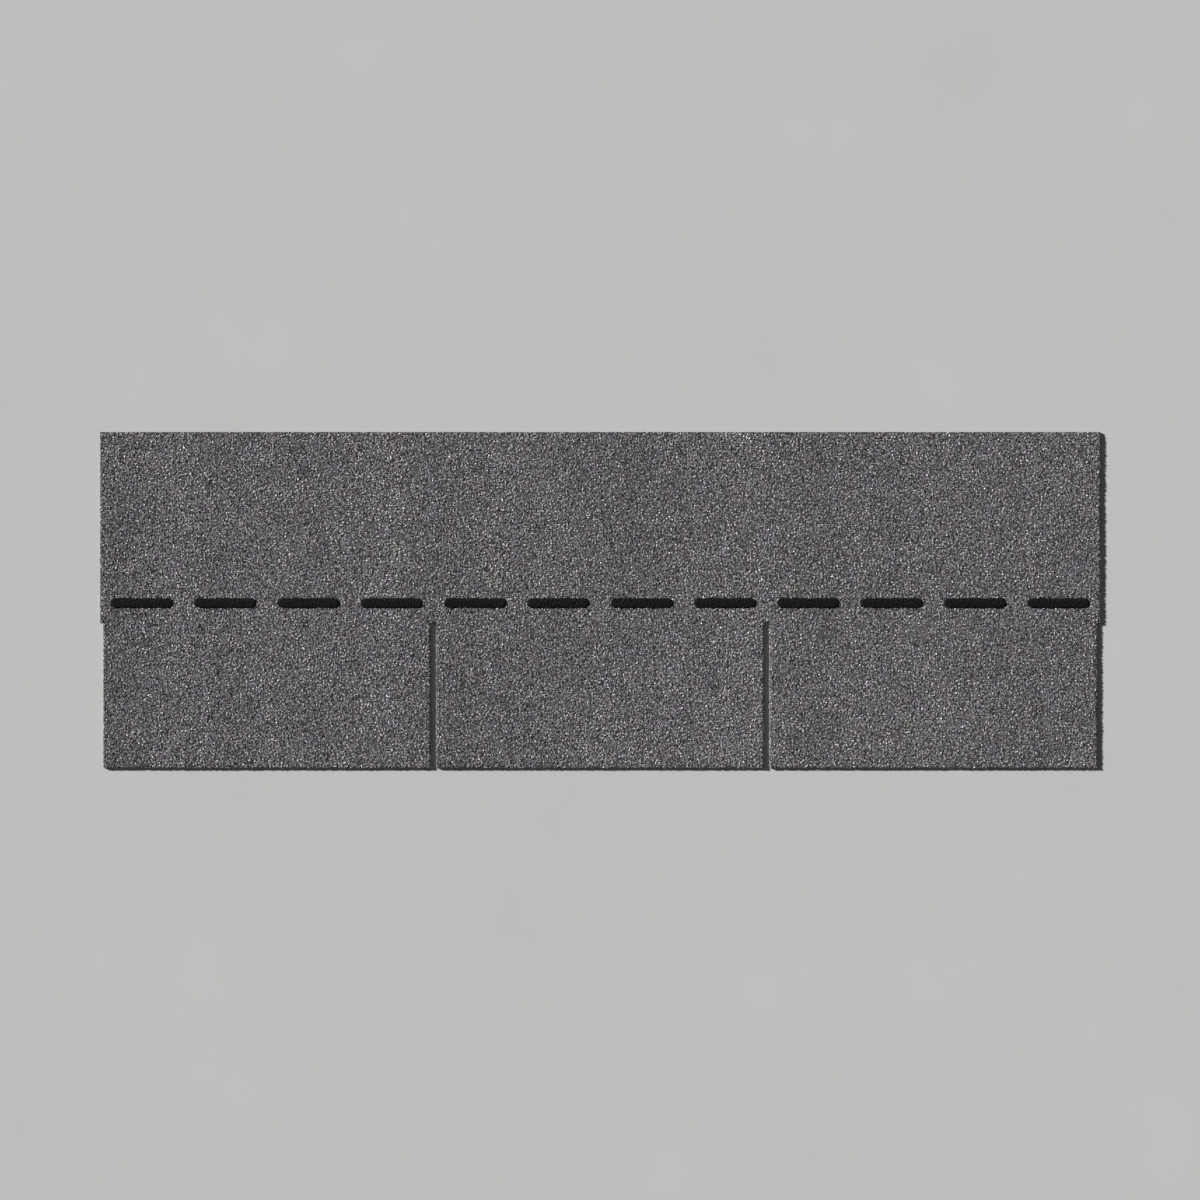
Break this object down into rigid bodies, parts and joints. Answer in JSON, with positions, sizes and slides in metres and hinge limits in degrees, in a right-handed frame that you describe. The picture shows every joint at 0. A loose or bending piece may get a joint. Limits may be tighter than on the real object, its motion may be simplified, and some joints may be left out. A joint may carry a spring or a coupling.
{
  "type": "three-tab asphalt strip shingle",
  "caption": "Flat asphalt roofing strip with mineral granules, slots that part its lower half into tabs, a dashed row of sealant and a release film in the back.",
  "frame": {"origin": "middle of the back face, which lies on the deck", "axes": "+X along the strip, +Y from the butt edge of the tabs to the top edge, +Z out of the weather face"},
  "size_m": [1, 0.336, 0.0038],
  "materials": {
    "granule_surfaced_asphalt": "rough mixed grey ceramic granules on asphalt-coated glass-fibre mat",
    "sealant": "smooth black asphalt sealant",
    "release_film": "thin clear film on dark asphalt"
  },
  "bodies": {
    "root": {"shingle_strip": "granule_surfaced_asphalt", "sealant_dashes": "sealant", "release_film": "release_film"}
  },
  "joints": []
}
